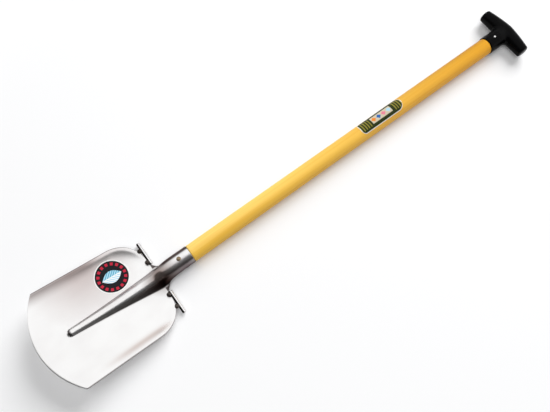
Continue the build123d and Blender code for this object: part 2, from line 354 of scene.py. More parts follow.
class MaterialDesk(NodeDesk):
    """The node tree of a new material with one Principled shader."""

    def __init__(self, name: str) -> None:
        """Start the material.

        Args:
            name: Name of the material.
        """
        self.material = bpy.data.materials.new(name)
        self.material.use_nodes = True
        super().__init__(self.material.node_tree)
        self.shader = self.tree.nodes["Principled BSDF"]

    def set(self, **values: float | Colour) -> None:
        """Set constants on the shader.

        Args:
            **values: Values or colours by socket, with underscores for the spaces in its name.
        """
        for key, value in values.items():
            socket = self.shader.inputs[key.replace("_", " ")]
            socket.default_value = (*value, 1.0) if isinstance(value, tuple) else value

    def feed(self, start: Socket, socket: str) -> None:
        """Join an output to one of the shader's inputs."""
        self.link(start, self.shader.inputs[socket])

    def place(self) -> Socket:
        """Object coordinates of the surface."""
        return self.node("ShaderNodeTexCoord").outputs["Object"]

    def ink(self) -> Socket:
        """Colour of the piece's own ink attribute."""
        return self.node("ShaderNodeAttribute", attribute_name="ink").outputs["Color"]

    def noise(self, waves: Waves) -> Socket:
        """Noise on Object coordinates.

        Args:
            waves: Scale and detail of the noise.

        Returns:
            The noise value from 0 to 1.
        """
        scale = self.node("ShaderNodeMapping")
        scale.inputs["Scale"].default_value = (waves.x, waves.y, waves.z)
        grain = self.node("ShaderNodeTexNoise")
        grain.inputs["Scale"].default_value = 1.0
        grain.inputs["Detail"].default_value = waves.detail
        self.link(self.place(), scale.inputs["Vector"])
        self.link(scale.outputs["Vector"], grain.inputs["Vector"])
        return grain.outputs["Fac"]

    def along(self, axis: Axis, run: Range) -> Socket:
        """Share of the way along an Object axis between two places, in metres.

        Args:
            axis: The axis.
            run: Places of the share's 0 and 1.

        Returns:
            The share, held between 0 and 1.
        """
        parts = self.node("ShaderNodeSeparateXYZ")
        self.link(self.place(), parts.inputs["Vector"])
        return self.remap(parts.outputs[axis.value], From_Min=run[0], From_Max=run[1])

    def distance(self, point: Place, reach: float) -> Socket:
        """Share of a reach that lies between a point and the surface.

        Args:
            point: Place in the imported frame.
            reach: Distance in metres that counts as 1.

        Returns:
            The share, held between 0 and 1.
        """
        far = self.node("ShaderNodeVectorMath", operation="DISTANCE")
        far.inputs[1].default_value = point
        self.link(self.place(), far.inputs[0])
        return self.remap(far.outputs["Value"], From_Max=reach)

    def spread(self, noise: Socket, low: float, high: float) -> Socket:
        """Spread the middle of a noise over the range low to high."""
        first, last = NOISE_MIDDLE
        return self.remap(noise, From_Min=first, From_Max=last, To_Min=low, To_Max=high)

    def ramp(self, value: Socket, stops: Ramp) -> Socket:
        """Colour ramp over a value.

        Args:
            value: The value.
            stops: Places on the ramp with their colours.

        Returns:
            The colour.
        """
        made = self.node("ShaderNodeValToRGB")
        line = made.color_ramp.elements
        while len(line) < len(stops):
            line.new(0.5)
        for element, (place, colour) in zip(line, stops):
            element.position = place
            element.color = (*colour, 1.0)
        self.link(value, made.inputs["Fac"])
        return made.outputs["Color"]

    def multiply(self, first: Socket, second: Socket, share: Socket | None = None) -> Socket:
        """Product of two colours.

        Args:
            first: First colour.
            second: Second colour.
            share: How far the first colour goes towards the product; all the way if not given.

        Returns:
            The colour.
        """
        made = self.node("ShaderNodeMix", data_type="RGBA", blend_type="MULTIPLY")
        made.inputs["Factor"].default_value = 1.0
        if share is not None:
            self.link(share, made.inputs["Factor"])
        self.link(first, made.inputs["A"])
        self.link(second, made.inputs["B"])
        return made.outputs["Result"]

    def bump(self, height: Socket, depth: float, strength: float) -> None:
        """Relief on the surface.

        Args:
            height: Height from 0 to 1.
            depth: Millimetres for a full swing of the height.
            strength: Share of the relief that shows.
        """
        made = self.node("ShaderNodeBump")
        made.inputs["Distance"].default_value = depth * MM
        made.inputs["Strength"].default_value = strength
        self.link(height, made.inputs["Height"])
        self.feed(made.outputs["Normal"], "Normal")


@dataclass(frozen=True)
class Finish:
    """Base of the finishes: a named material made on request."""

    name: str

    def material(self) -> bpy.types.Material:
        """Make the material."""
        raise NotImplementedError


@dataclass(frozen=True)
class PaintedShadeSpot:
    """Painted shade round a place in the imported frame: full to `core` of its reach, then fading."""

    place: Place
    reach: float
    tint: Colour
    core: float = 0.2


@dataclass(frozen=True)
class SteelFinish(Finish):
    """Metal with fine scratches along Y, cloudy polish and spots of painted shade.

    Below a given height, in metres, the metal is painted black as the shade of the gap beneath it,
    over a short run upwards. An inked finish is darkened by the piece's own ink attribute.
    """

    bright: Colour = (0.99, 0.985, 0.98)
    dull: Colour = (0.96, 0.95, 0.945)
    smoothest: float = 0.27
    roughest: float = 0.33
    relief: float = 0.01
    relief_strength: float = 0.5
    grazing: Colour = (0.40, 0.36, 0.36)
    clouds: Waves = Waves(22.0, 14.0, 22.0)
    cloud_run: Range = (0.35, 0.6)
    scratches: Waves = Waves(900.0, 45.0, 900.0, 2.0)
    # painted shade and reflections round given places
    painted_shade_spots: tuple[PaintedShadeSpot, ...] = ()
    # painted black shade of the gap below a rod, over a short run above the given height
    gap_shade: Colour = (0.03, 0.025, 0.025)
    gap_shade_run: float = 0.0012
    gap_shade_y: float | None = None
    inked: bool = False

    def material(self) -> bpy.types.Material:
        """Clouds steer polish and tint, scratches the relief; painted shade and ink darken the tint.

        Returns:
            The material.
        """
        desk = MaterialDesk(self.name)
        desk.set(Metallic=1.0, Specular_Tint=self.grazing)
        clouds = desk.noise(self.clouds)
        dull_from, bright_from = self.cloud_run
        tint = desk.ramp(clouds, ((dull_from, self.dull), (bright_from, self.bright)))
        # painted shade and reflections darken the tint round each place
        for shade_spot in self.painted_shade_spots:
            far = desk.distance(shade_spot.place, shade_spot.reach)
            tint = desk.multiply(tint, desk.ramp(far, ((shade_spot.core, shade_spot.tint), (1.0, WHITE))))
        if self.inked:
            tint = desk.multiply(tint, desk.ink())
        # painted shade of the gap: black below the given height
        if self.gap_shade_y is not None:
            height = desk.along(Axis.SHAFT, (self.gap_shade_y, self.gap_shade_y + self.gap_shade_run))
            tint = desk.multiply(tint, desk.ramp(height, ((0.0, self.gap_shade), (1.0, WHITE))))
        desk.feed(tint, "Base Color")
        desk.feed(desk.spread(clouds, self.roughest, self.smoothest), "Roughness")
        desk.bump(desk.noise(self.scratches), self.relief, self.relief_strength)
        return desk.material


@dataclass(frozen=True)
class WoodFinish(Finish):
    """Lacquered pale wood: long grain streaks along Y, faint clouds, deeper colour to the grip.

    Painted shade: near the blade the right side is deeper orange, near the grip the left darker.
    Runs along the shaft are in metres.
    """

    body: Ramp = ((0.0, (1.0, 0.71, 0.20)), (0.5, (1.0, 0.63, 0.125)), (1.0, (0.95, 0.455, 0.036)))
    body_run: Range = (-0.3, 0.52)
    cloud: Ramp = ((0.3, (0.97, 0.93, 0.86)), (0.65, WHITE))
    cloud_waves: Waves = Waves(70.0, 1.6, 70.0, 2.0)
    grain: Ramp = ((0.3, (0.96, 0.90, 0.80)), (0.5, WHITE))
    grain_waves: Waves = Waves(230.0, 3.5, 230.0, 4.0)
    grain_depth: float = 0.05
    grain_strength: float = 0.25
    # painted shade colour of the shaft's right side near the blade: deeper orange
    painted_shade_hue: Ramp = ((0.45, WHITE), (0.8, (1.0, 0.86, 0.44)))
    shade_hue_run: Range = (0.45, -0.2)
    # painted shade darkening the shaft's left side near the grip
    painted_left_shade: Ramp = ((0.0, (0.46, 0.42, 0.33)), (0.5, (0.83, 0.84, 0.81)), (0.85, WHITE))
    left_shade_run: Range = (-0.05, 0.45)
    half_width: float = 0.018
    coat: float = 0.04
    coat_roughness: float = 0.3
    roughness: float = 0.55
    gloss: float = 0.2

    def material(self) -> bpy.types.Material:
        """Clouds, grain and the sides' painted shade lie over the body; the lacquer is a thin coat.

        Returns:
            The material.
        """
        desk = MaterialDesk(self.name)
        desk.set(Coat_Weight=self.coat, Coat_Roughness=self.coat_roughness)
        desk.set(Roughness=self.roughness, Specular_IOR_Level=self.gloss)
        grain = desk.noise(self.grain_waves)
        side = desk.along(Axis.ACROSS, (-self.half_width, self.half_width))
        tint = desk.ramp(desk.along(Axis.SHAFT, self.body_run), self.body)
        tint = desk.multiply(tint, desk.ramp(desk.noise(self.cloud_waves), self.cloud))
        tint = desk.multiply(tint, desk.ramp(grain, self.grain))
        # painted shade on one side each: deeper orange right near the blade, darker left near the grip
        for stops, run in ((self.painted_shade_hue, self.shade_hue_run), (self.painted_left_shade, self.left_shade_run)):
            tint = desk.multiply(tint, desk.ramp(side, stops), desk.along(Axis.SHAFT, run))
        desk.feed(tint, "Base Color")
        desk.bump(grain, self.grain_depth, self.grain_strength)
        return desk.material


@dataclass(frozen=True)
class PlasticFinish(Finish):
    """Moulded plastic with a fine spark-eroded grain, polished in patches by handling."""

    wear: Ramp = ((0.35, (0.001, 0.001, 0.0011)), (0.7, (0.0025, 0.0025, 0.0028)))
    patches: Waves = Waves(35.0, 35.0, 35.0)
    grain: Waves = Waves(1800.0, 1800.0, 1800.0, 2.0)
    grain_depth: float = 0.03
    grain_strength: float = 0.35
    smoothest: float = 0.22
    roughest: float = 0.34
    gloss: float = 0.06

    def material(self) -> bpy.types.Material:
        """Patches steer the colour and the polish.

        Returns:
            The material.
        """
        desk = MaterialDesk(self.name)
        desk.set(Specular_IOR_Level=self.gloss)
        patches = desk.noise(self.patches)
        desk.feed(desk.ramp(patches, self.wear), "Base Color")
        desk.feed(desk.spread(patches, self.smoothest, self.roughest), "Roughness")
        desk.bump(desk.noise(self.grain), self.grain_depth, self.grain_strength)
        return desk.material


@dataclass(frozen=True)
class FilmFinish(Finish):
    """Printed film: the piece's own ink under a clear face with slight handling marks."""

    marks: Waves = Waves(160.0, 160.0, 160.0)
    ripples: Waves = Waves(420.0, 420.0, 420.0, 1.0)
    ripple_depth: float = 0.02
    ripple_strength: float = 0.3
    smoothest: float = 0.2
    roughest: float = 0.4
    gloss: float = 0.1

    def material(self) -> bpy.types.Material:
        """The colours are the ink attribute; marks steer the polish.

        Returns:
            The material.
        """
        desk = MaterialDesk(self.name)
        desk.set(Specular_IOR_Level=self.gloss)
        desk.feed(desk.ink(), "Base Color")
        desk.feed(desk.spread(desk.noise(self.marks), self.smoothest, self.roughest), "Roughness")
        desk.bump(desk.noise(self.ripples), self.ripple_depth, self.ripple_strength)
        return desk.material


@dataclass(frozen=True)
class Role:
    """A new piece's name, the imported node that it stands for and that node's material slot.

    Edges that turn by more than `sharp` degrees stay crisp.
    """

    piece: str
    node: str
    slot: str
    sharp: float = 40.0


class SubAssembly:
    """Base of the spade's sub-assemblies, with sizes in millimetres in the spade's own frame.

    An open sheet has a `wall` towards its back, whose rim may have an `edge` finish of its own.
    """

    role: Role
    wall: float = 0.0
    edge: Finish | None = None

    def patches(self, datum: Datum) -> list[Patch]:
        """Sheets of the piece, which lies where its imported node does."""
        raise NotImplementedError

    def build(self, datum: Datum, finish: Finish) -> Piece:
        """Make the piece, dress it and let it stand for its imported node.

        Args:
            datum: Place of the spade's own axes.
            finish: Finish of the piece.

        Returns:
            The object, at the origin, unturned and unscaled.
        """
        role = self.role
        mesh = weld(role.piece, self.patches(datum), datum)
        mesh.set_sharp_from_angle(angle=np.radians(role.sharp))
        mesh.materials.append(finish.material())
        piece = stand(role.piece, mesh)
        if self.wall:
            self.thicken(piece)
        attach(piece, "root")
        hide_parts(role.node)
        log.info("%s stands for %s with finish %s", role.piece, role.node, finish.name)
        return piece

    def thicken(self, piece: Piece) -> None:
        """Give an open sheet its wall.

        Args:
            piece: The sheet, already dressed.
        """
        wall = piece.modifiers.new("wall", "SOLIDIFY")
        wall.thickness = self.wall * MM
        wall.offset = -1.0
        wall.use_even_offset = True
        if self.edge:
            piece.data.materials.append(self.edge.material())
            wall.material_offset_rim = 1


@dataclass(frozen=True)
class HeadPaintedShade:
    """Inks of painted shade on the head; each range runs from no mark to a full one.

    A band of painted dark reflection lies along the blade's left side and a painted grey line along
    the bend of its right side. Painted shade darkens the rib's right flank, less and less down the
    blade, and the rib's nose, the wings and a line along the left of the socket. The sheet's rim
    gets a dark line.
    """

    rim: Colour = (0.30, 0.27, 0.27)
    # colours of painted shade and reflections, each with the ranges of its mask
    band: Colour = (0.36, 0.305, 0.295)
    band_width: float = 26.0
    band_power: float = 1.5
    band_rim: Range = (-1.0, 4.0)
    band_down: Range = (65.0, 110.0)
    crease: Colour = (0.74, 0.66, 0.63)
    crease_inset: float = 13.0
    crease_width: float = 6.0
    crease_start: Range = (15.0, 50.0)
    crease_end: Range = (185.0, 95.0)
    flank: Colour = (0.07, 0.045, 0.04)
    flank_left: Range = (0.3, 0.6)
    flank_right: Range = (1.12, 0.88)
    flank_run: float = 280.0
    flank_tip: float = 16.0
    flank_on_socket: float = 0.7
    nose: Colour = (0.07, 0.055, 0.055)
    nose_length: float = 8.5
    nose_run: float = 3.0
    nose_rim: float = 1.5
    line: Colour = (0.12, 0.095, 0.09)
    line_side: Range = (-6.5, -10.5)
    wing: Colour = (0.13, 0.11, 0.11)
    wing_side: float = 3.0
    wing_rise: float = 1.5

    def ink(self, head: "BladeHead", points: Grid) -> Grid:
        """Product of the marks' inks, each laid on by its own strength from 0 to 1.

        Args:
            head: The head that is marked.
            points: Grid of points of one of its sheets.

        Returns:
            A colour for every point, white where nothing is painted.
        """
        x, y = points[..., 0], points[..., 1]
        down = (head.edge_y - y) / np.cos(head.lift)
        edge, root = head.edge_x(down), head.rib_root_half
        # painted dark reflection in the bend along the blade's left side
        band = np.clip(1 - (x + edge) / self.band_width, 0.0, 1.0) ** self.band_power
        band = band * fade(x + edge, *self.band_rim) * fade(down, *self.band_down)
        # painted grey reflection along the bend of the right side
        crease = np.exp(-(((edge - x - self.crease_inset) / self.crease_width) ** 2))
        crease = crease * fade(down, *self.crease_start) * fade(down, *self.crease_end)
        # painted dark reflection and shade on the rib's right flank
        share = x / head.foot(down)
        flank = fade(share, *self.flank_left) * fade(share, *self.flank_right)
        flank = flank * fade(down, head.rib_end, head.rib_end - self.flank_tip)
        flank = flank * np.clip(1 - down / self.flank_run, 0.0, 1.0)
        flank = flank * mix(self.flank_on_socket, 1.0, fade(y, head.socket_throat_y, 0.0))
        # painted dark reflection on the rib's nose
        far, start = np.hypot(x, down - head.nose_down), head.rib_end - self.nose_length
        nose = fade(far, head.rib_tip_half, head.rib_tip_half - self.nose_rim)
        nose = nose * fade(down, start, start + self.nose_run)
        # painted dark reflection along the left of the socket, and painted shade on the wings beside the
        # neck
        line = fade(x, *self.line_side) * fade(y, 0.0, root)
        wing = fade(np.abs(x), root, root + self.wing_side)
        wing = wing * fade(y, head.edge_y, head.edge_y + self.wing_rise)
        marks = (
            (band, self.band), (flank, self.flank), (line, self.line),
            (wing, self.wing), (nose, self.nose), (crease, self.crease),
        )
        return np.prod([mix(1.0, np.array(ink), mark[..., None]) for mark, ink in marks], axis=0)


@dataclass
class BladeHead(SubAssembly):
    """Dished blade, its hollow rib and the rolled socket: one sheet of steel.

    The blade's floor is a plane tilted by `lift_angle` about X. Points on it are given by x
    across, `down` from the top edge towards the cutting edge, and `height` along its normal. The
    horn is the neck and the socket, whose sections are half ellipses in front.
    """

    role: Role = Role("blade_head", "blade", "blade_steel", 60.0)
    wall: float = 2.0
    edge: Finish = SteelFinish(
        "cut_edge", bright=(0.30, 0.28, 0.27), dull=(0.20, 0.18, 0.17), smoothest=0.4, roughest=0.5,
    )
    # inks of painted shade and reflections on the head
    marks: HeadPaintedShade = HeadPaintedShade()
    corner_half_width: float = 103.95
    shoulder_half_width: float = 100.9
    blade_length: float = 250.0
    cutting_radius: float = 156.0
    shoulder_radius: float = 57.0
    ground_width: float = 1.8
    ground_depth: float = 1.1
    lift_angle: float = 13.1
    floor_depth: float = 15.9
    edge_y: float = -4.0
    bend_width: float = 22.0
    bend_lead: float = 12.0
    bend_power: float = 3.1
    dish_lead: float = 34.0
    dish_power: float = 3.0
    dish_knee: float = 16.5
    knee_softness: float = 1.1
    rim_height_shoulder: float = 8.9
    rim_height_corner: float = 2.3
    rim_height_top: float = 2.5
    rim_blend: float = 0.9
    rib_length: float = 183.5
    rib_end: float = 191.5
    rib_tip_half: float = 8.1
    rib_root_half: float = 21.5
    rib_taper: float = 1.4
    rib_crown: float = 3.1
    rib_fillet: float = 1.5
    rib_root_height: float = 26.0
    rib_tip_height: float = 4.5
    crest_turn: Range = (-12.0, 12.0)
    side_turn: Range = (-8.0, 34.0)
    neck_half_width: float = 33.5
    wing_length: float = 19.0
    wing_end_half: float = 19.2
    wing_taper: float = 0.9
    wing_corner: float = 0.35
    wing_stub: float = 0.6
    socket_mouth_y: float = 73.0
    socket_mouth_radius: float = 18.2
    socket_mouth_lip: float = 0.4
    socket_throat_radius: float = 18.5
    socket_throat_y: float = 42.0
    socket_seam: float = 1.5
    heel_depth: float = 19.5
    heel_press: float = 0.5
    heel_squareness: float = 0.6
    heel_start_y: float = 6.7
    arch_columns: int = 40
    arch_bunching: float = 1.5
    plate_columns: int = 46
    plate_least: float = 0.6
    plate_last: float = 0.995
    middle_half: float = 9.0
    back_columns: int = 24
    ground_rows: tuple[float, ...] = (1.0, 0.996, 0.9918)
    side_start: float = 0.99
    side_rows: int = 74
    shoulder_rows: int = 56
    neck_count: int = 34
    socket_rows: int = 34
    heel_rows: int = 8
    rim_columns: tuple[int, ...] = (0, 1, -2, -1)

    @property
    def lift(self) -> float:
        """Tilt of the floor in radians."""
        return float(np.radians(self.lift_angle))

    @property
    def shoulder_x(self) -> float:
        """Distance of the shoulder's centre from the middle."""
        return self.shoulder_half_width - self.shoulder_radius

    @property
    def corner_down(self) -> float:
        """Distance of the blade's lower corners from the top edge."""
        rise = np.sqrt(self.cutting_radius**2 - self.corner_half_width**2)
        return float(self.blade_length - self.cutting_radius + rise)

    @property
    def nose_down(self) -> float:
        """Distance of the nose's centre from the top edge."""
        return self.rib_end - self.rib_tip_half

    def floor_z(self, y: Grid | float) -> Grid:
        """Height of the floor's plane in the spade's own frame."""
        return -self.floor_depth - y * float(np.tan(self.lift))

    def on_floor(self, x: Grid, down: Grid, height: Grid) -> Grid:
        """Carry floor coordinates into the spade's own frame.

        Args:
            x: Distances across.
            down: Distances from the top edge.
            height: Distances along the floor's normal.

        Returns:
            The points.
        """
        y = self.edge_y - down * np.cos(self.lift) + height * np.sin(self.lift)
        z = self.floor_z(self.edge_y) + down * np.sin(self.lift) + height * np.cos(self.lift)
        return stack(x, y, z)

    def bend(self, reach: Grid, rim: float) -> Grid:
        """Height of a soft bend: a power of the reach up to the rim, then straight on.

        Args:
            reach: Distances past the bend's start.
            rim: Height at the rim.

        Returns:
            The heights.
        """
        share = np.clip(reach + self.bend_lead, 0.0, None) / (self.bend_width + self.bend_lead)
        past = np.clip(share - 1.0, 0.0, None)
        return rim * (np.minimum(share, 1.0) ** self.bend_power + self.bend_power * past)

    def hollow(self, reach: Grid, rim: float) -> Grid:
        """Height of a dished side: a wide power curve up to a knee, then a level border.

        Args:
            reach: Distances past the bend's start.
            rim: Height of the border.

        Returns:
            The heights.
        """
        soft = self.knee_softness
        held = self.dish_knee - soft * np.logaddexp(0.0, (self.dish_knee - reach) / soft)
        share = np.clip(held + self.dish_lead, 0.0, None) / (self.dish_knee + self.dish_lead)
        return rim * share**self.dish_power

    def along_side(self, down: Grid) -> Grid:
        """Share of the way from the shoulder to the lower corner."""
        share = (down - self.shoulder_radius) / (self.corner_down - self.shoulder_radius)
        return np.clip(share, 0.0, 1.0)

    def edge_x(self, down: Grid) -> Grid:
        """Half width of the blade along its straight sides."""
        return mix(self.shoulder_half_width, self.corner_half_width, self.along_side(down))

    def dish(self, x: Grid, down: Grid) -> Grid:
        """Height of the turned-up rim along the sides, round the shoulders and the top.

        At the shoulders the sides are hollowed and end in a level border; they pass into a plain
        bend at the lower corners and at the top.

        Args:
            x: Distances across.
            down: Distances from the top edge.

        Returns:
            The heights over the floor.
        """
        x = np.abs(x)
        reach = x - self.edge_x(down) + self.bend_width
        hollow = self.hollow(reach, self.rim_height_shoulder)
        side = mix(hollow, self.bend(reach, self.rim_height_corner), self.along_side(down))
        across, up = x - self.shoulder_x, self.shoulder_radius - down
        far = np.hypot(across, up)
        lean = np.clip(across, 0.0, None) / np.maximum(far, TINY)
        reach = far - (self.shoulder_radius - self.bend_width)
        bend = self.bend(reach, self.rim_height_top)
        hollow = self.hollow(reach, self.rim_height_shoulder)
        shoulder = mix(bend, hollow, fade(lean, 0.0, self.rim_blend))
        top = self.bend(self.bend_width - down, self.rim_height_top)
        return np.where(up < 0, side, np.where(across < 0, top, shoulder))

    def spine(self, down: Grid) -> Grid:
        """Points of the sheet's middle line, without the rib."""
        return self.on_floor(0 * down, down, self.dish(0 * down, down))

    def tube_radius(self, y: Grid) -> Grid:
        """Outer radius of the socket."""
        share = (self.socket_mouth_y - y) / (self.socket_mouth_y - self.socket_throat_y)
        return mix(self.socket_mouth_radius, self.socket_throat_radius, np.clip(share, 0.0, 1.0))

    def crest_z(self, y: Grid) -> Grid:
        """Top line of the rib and the socket: the socket's radius, then a falling rib.

        Args:
            y: Distances along the shaft.

        Returns:
            The heights; the rib falls with the square of the way left to its tip.
        """
        left = np.clip(1 + np.minimum(y, 0.0) / self.rib_length, 0.0, 1.0)
        rib = self.floor_z(np.minimum(y, 0.0))
        rib = rib + mix(self.rib_tip_height, self.rib_root_height, left**2)
        return mix(rib, self.tube_radius(y), fade(y, *self.crest_turn))

    def foot(self, down: Grid) -> Grid:
        """Half width of the rib at its foot, tapering from the neck to the tip."""
        left = np.clip(1 - down / self.rib_end, 0.0, 1.0)
        return mix(self.rib_tip_half, self.rib_root_half, left**self.rib_taper)

    def rib(self, x: Grid, down: Grid) -> Grid:
        """Rise of the rib over the sheet: a round crown that runs out level at the foot.

        With u the share of the foot's half width, the rise is the top's height times
        (1 - u^crown)^fillet. Past the nose's centre the same section turns about that centre.

        Args:
            x: Distances across.
            down: Distances from the top edge.

        Returns:
            The rises.
        """
        held = np.minimum(down, self.nose_down)
        away = np.hypot(x, np.clip(down - self.nose_down, 0.0, None))
        sheet = self.spine(held)
        top = self.crest_z(sheet[..., 1]) - sheet[..., 2]
        share = np.clip(away / self.foot(held), 0.0, 1.0)
        return top * (1 - share**self.rib_crown) ** self.rib_fillet

    def ground_edge(self, x: Grid, down: Grid) -> Grid:
        """Drop of the front along the sharpened cutting edge, in proportion to the nearness.

        Args:
            x: Distances across.
            down: Distances from the top edge.

        Returns:
            The drops.
        """
        left = self.cutting_radius - np.hypot(x, down - self.blade_length + self.cutting_radius)
        near = np.where(down > self.blade_length / 2, 1 - left / self.ground_width, 0.0)
        return self.ground_depth * np.clip(near, 0.0, 1.0)

    def front(self, x: Grid, down: Grid) -> Grid:
        """Points of the blade's front: the dished sheet with the rib and the ground edge."""
        rise = self.rib(x, down) - self.ground_edge(x, down)
        return self.on_floor(x, down, self.dish(x, down)) + stack(0 * rise, 0 * rise, rise)

    def arch_angles(self) -> Grid:
        """Angles from the crest to the side, closer together towards the side."""
        return np.pi / 2 * (1 - np.linspace(1.0, 0.0, self.arch_columns) ** self.arch_bunching)

    def columns(self, foot: Grid, edge: Grid) -> Grid:
        """Half-row of x from the middle, over the rib's foot, out to the edge.

        Args:
            foot: Half width of the rib for each row.
            edge: Half width of the sheet for each row.

        Returns:
            Rows by columns of x: over the rib at the heights of the horn's section, over the
            plate at equal steps, with a narrow last step beside the edge.
        """
        inner = np.minimum(foot, edge - self.plate_least)[:, None]
        height = np.clip(np.cos(self.arch_angles()), 0.0, 1.0)
        arch = (1 - height ** (1 / self.rib_fillet)) ** (1 / self.rib_crown)
        plate = np.linspace(0.0, 1.0, self.plate_columns)[1:]
        plate = np.append(plate[:-1], (self.plate_last, 1.0))
        outer = inner + (edge[:, None] - inner) * plate
        return np.concatenate([inner * arch, outer], axis=1)

    def plate_half(self) -> tuple[Grid, Grid]:
        """Right half of the blade's floor grid, from the cutting edge to the top edge.

        Returns:
            Grids of x and down. Below the shoulders the rows bend gradually into the arc of the
            cutting edge; beside the shoulders they are level and end on the rounded outline.
        """
        share = np.append(self.ground_rows, np.linspace(self.side_start, 0.0, self.side_rows))
        edge = mix(self.shoulder_half_width, self.corner_half_width, share)
        middle = mix(self.shoulder_radius, self.blade_length, share)
        low_x = self.columns(np.maximum(self.foot(middle), self.middle_half), edge)
        reach = low_x / edge[:, None] * self.corner_half_width
        arc = self.blade_length - self.cutting_radius + np.sqrt(self.cutting_radius**2 - reach**2)
        low_down = mix(self.shoulder_radius, arc, share[:, None])
        angle = quarter(self.shoulder_rows)[1:]
        edge = self.shoulder_x + self.shoulder_radius * np.cos(angle)
        down = self.shoulder_radius * (1 - np.sin(angle))
        high_x = self.columns(np.maximum(self.foot(down), self.middle_half), edge)
        high_down = down[:, None] + 0 * high_x
        return np.concatenate([low_x, high_x]), np.concatenate([low_down, high_down])

    def side_z(self, y: Grid) -> Grid:
        """Height at which the horn is widest: the sheet's middle at the neck, then the axis.

        Args:
            y: Distances along the shaft.

        Returns:
            The heights.
        """
        reach = (y - self.edge_y) / np.cos(self.lift) + self.bend_width
        sheet = self.floor_z(y) + self.bend(reach, self.rim_height_top) - self.wall / 2
        return mix(sheet, 0.0, fade(y, *self.side_turn))

    def over(self, y: Grid) -> Grid:
        """Front half of the horn: half ellipses from the crest to the side.

        Args:
            y: Distances of the sections along the shaft.

        Returns:
            The points, one row for each section.
        """
        angle, half = self.arch_angles(), self.tube_radius(y)[:, None]
        z = mix(self.side_z(y)[:, None], self.crest_z(y)[:, None], np.cos(angle))
        return stack(half * np.sin(angle), y[:, None], z)

    def under(self, y: Grid, side: Side) -> Grid:
        """Back of the horn from its side to the seam, squarer and flattened at the heel.

        Args:
            y: Distances of the sections along the shaft.
            side: Side of the seam.

        Returns:
            The points, one row for each section.
        """
        half, throat = self.tube_radius(y)[:, None], self.socket_throat_y
        deepest = self.heel_depth + self.heel_press
        heel = mix(deepest, self.tube_radius(y), fade(y, throat / 2, throat))
        power = mix(self.heel_squareness, 1.0, fade(y, 0.0, throat))[:, None]
        angle = quarter(self.back_columns)
        x = np.maximum(half * np.cos(angle) ** power, self.socket_seam / 2)
        z = mix(self.side_z(y)[:, None], -heel[:, None], np.sin(angle) ** power)
        return stack(side.value * x, y[:, None], np.maximum(z, -self.heel_depth))

    def neck_rows(self) -> Grid:
        """Distances of the neck's rows, close together beside the blade's top edge."""
        return -self.wing_length * np.linspace(0.0, 1.0, self.neck_count) ** 2

    def neck_half(self) -> Grid:
        """Right half of the neck from the blade's top edge to the socket's start.

        Each row passes from the blade's own section, with the wing beside it, into the half
        ellipse of the horn; over the crown both are the same curve.

        Returns:
            The points, one row for each section.
        """
        down = self.neck_rows()
        left = 1 + down / self.wing_length
        edge = mix(self.wing_end_half, self.neck_half_width, left**self.wing_taper)
        edge = edge + (self.shoulder_x - self.neck_half_width) * np.exp(down / self.wing_corner)
        x = self.columns(self.foot(down), edge)
        sheet = self.front(x, down[:, None] + 0 * x)
        horn = self.over(self.spine(down)[:, 1])
        step = np.linspace(0.0, self.wing_stub, x.shape[1] - self.arch_columns + 1)[1:]
        rest = horn[:, -1:] + stack(step, 0 * step, 0 * step)
        horn = np.concatenate([horn, rest], axis=1)
        return mix(sheet, horn, fade(left, 1.0, 0.0)[:, None, None])

    def patches(self, datum: Datum) -> list[Patch]:
        """Sheets of the head: blade, neck, socket front and both halves of the socket's back.

        Args:
            datum: Place of the spade's own axes, which the head's own sizes don't need.

        Returns:
            The sheets with their inks.
        """
        start = float(self.spine(self.neck_rows())[-1, 1])
        last = self.socket_mouth_y - self.socket_mouth_lip
        tall = np.append(np.linspace(start, last, self.socket_rows), self.socket_mouth_y)
        heel = np.linspace(self.heel_start_y, start, self.heel_rows)[:-1]
        back = np.concatenate([heel, tall])
        sheets = [
            Patch(both_sides(self.front(*self.plate_half()))), Patch(both_sides(self.neck_half())),
            Patch(both_sides(self.over(tall))),
            Patch(self.under(back, Side.RIGHT)), Patch(self.under(back, Side.LEFT), flip=True),
        ]
        # painted shade and reflections inked on every sheet, and a dark line on the blade's and neck's
        # rims
        for sheet in sheets:
            sheet.ink = self.marks.ink(self, sheet.points)
        for sheet in sheets[:2]:
            sheet.ink[:, self.rim_columns] = self.marks.rim
        return sheets


@dataclass
class Tread(SubAssembly):
    """Round rod along the blade's top edge, with turned ends."""

    side: Side
    chamfer: float = 0.8
    chamfer_rows: int = 6
    columns: int = 40

    @property
    def role(self) -> Role:
        """Names of the rod on its side."""
        node = f"{self.side.name.lower()}_tread"
        return Role(f"{node}_rod", node, "tread_steel")

    def patches(self, datum: Datum) -> list[Patch]:
        """Turn the rod with rounded ends and lay it along X.

        Args:
            datum: Place of the spade's own axes.

        Returns:
            The rod's skin.
        """
        low, high = datum.box(self.role.node)
        half, radius, _ = (high - low) / 2
        turn = quarter(self.chamfer_rows)
        inward, onward = self.chamfer * (1 - np.sin(turn)), self.chamfer * (1 - np.cos(turn))
        end = profile(radius - inward, onward - half)
        rows = np.concatenate([[(0.0, -half)], end, (end * (1, -1))[::-1], [(0.0, half)]])
        points = lathe(rows, self.columns)[..., (1, 0, 2)] + (low + high) / 2
        return [Patch(points, wrap=True, flip=True)]


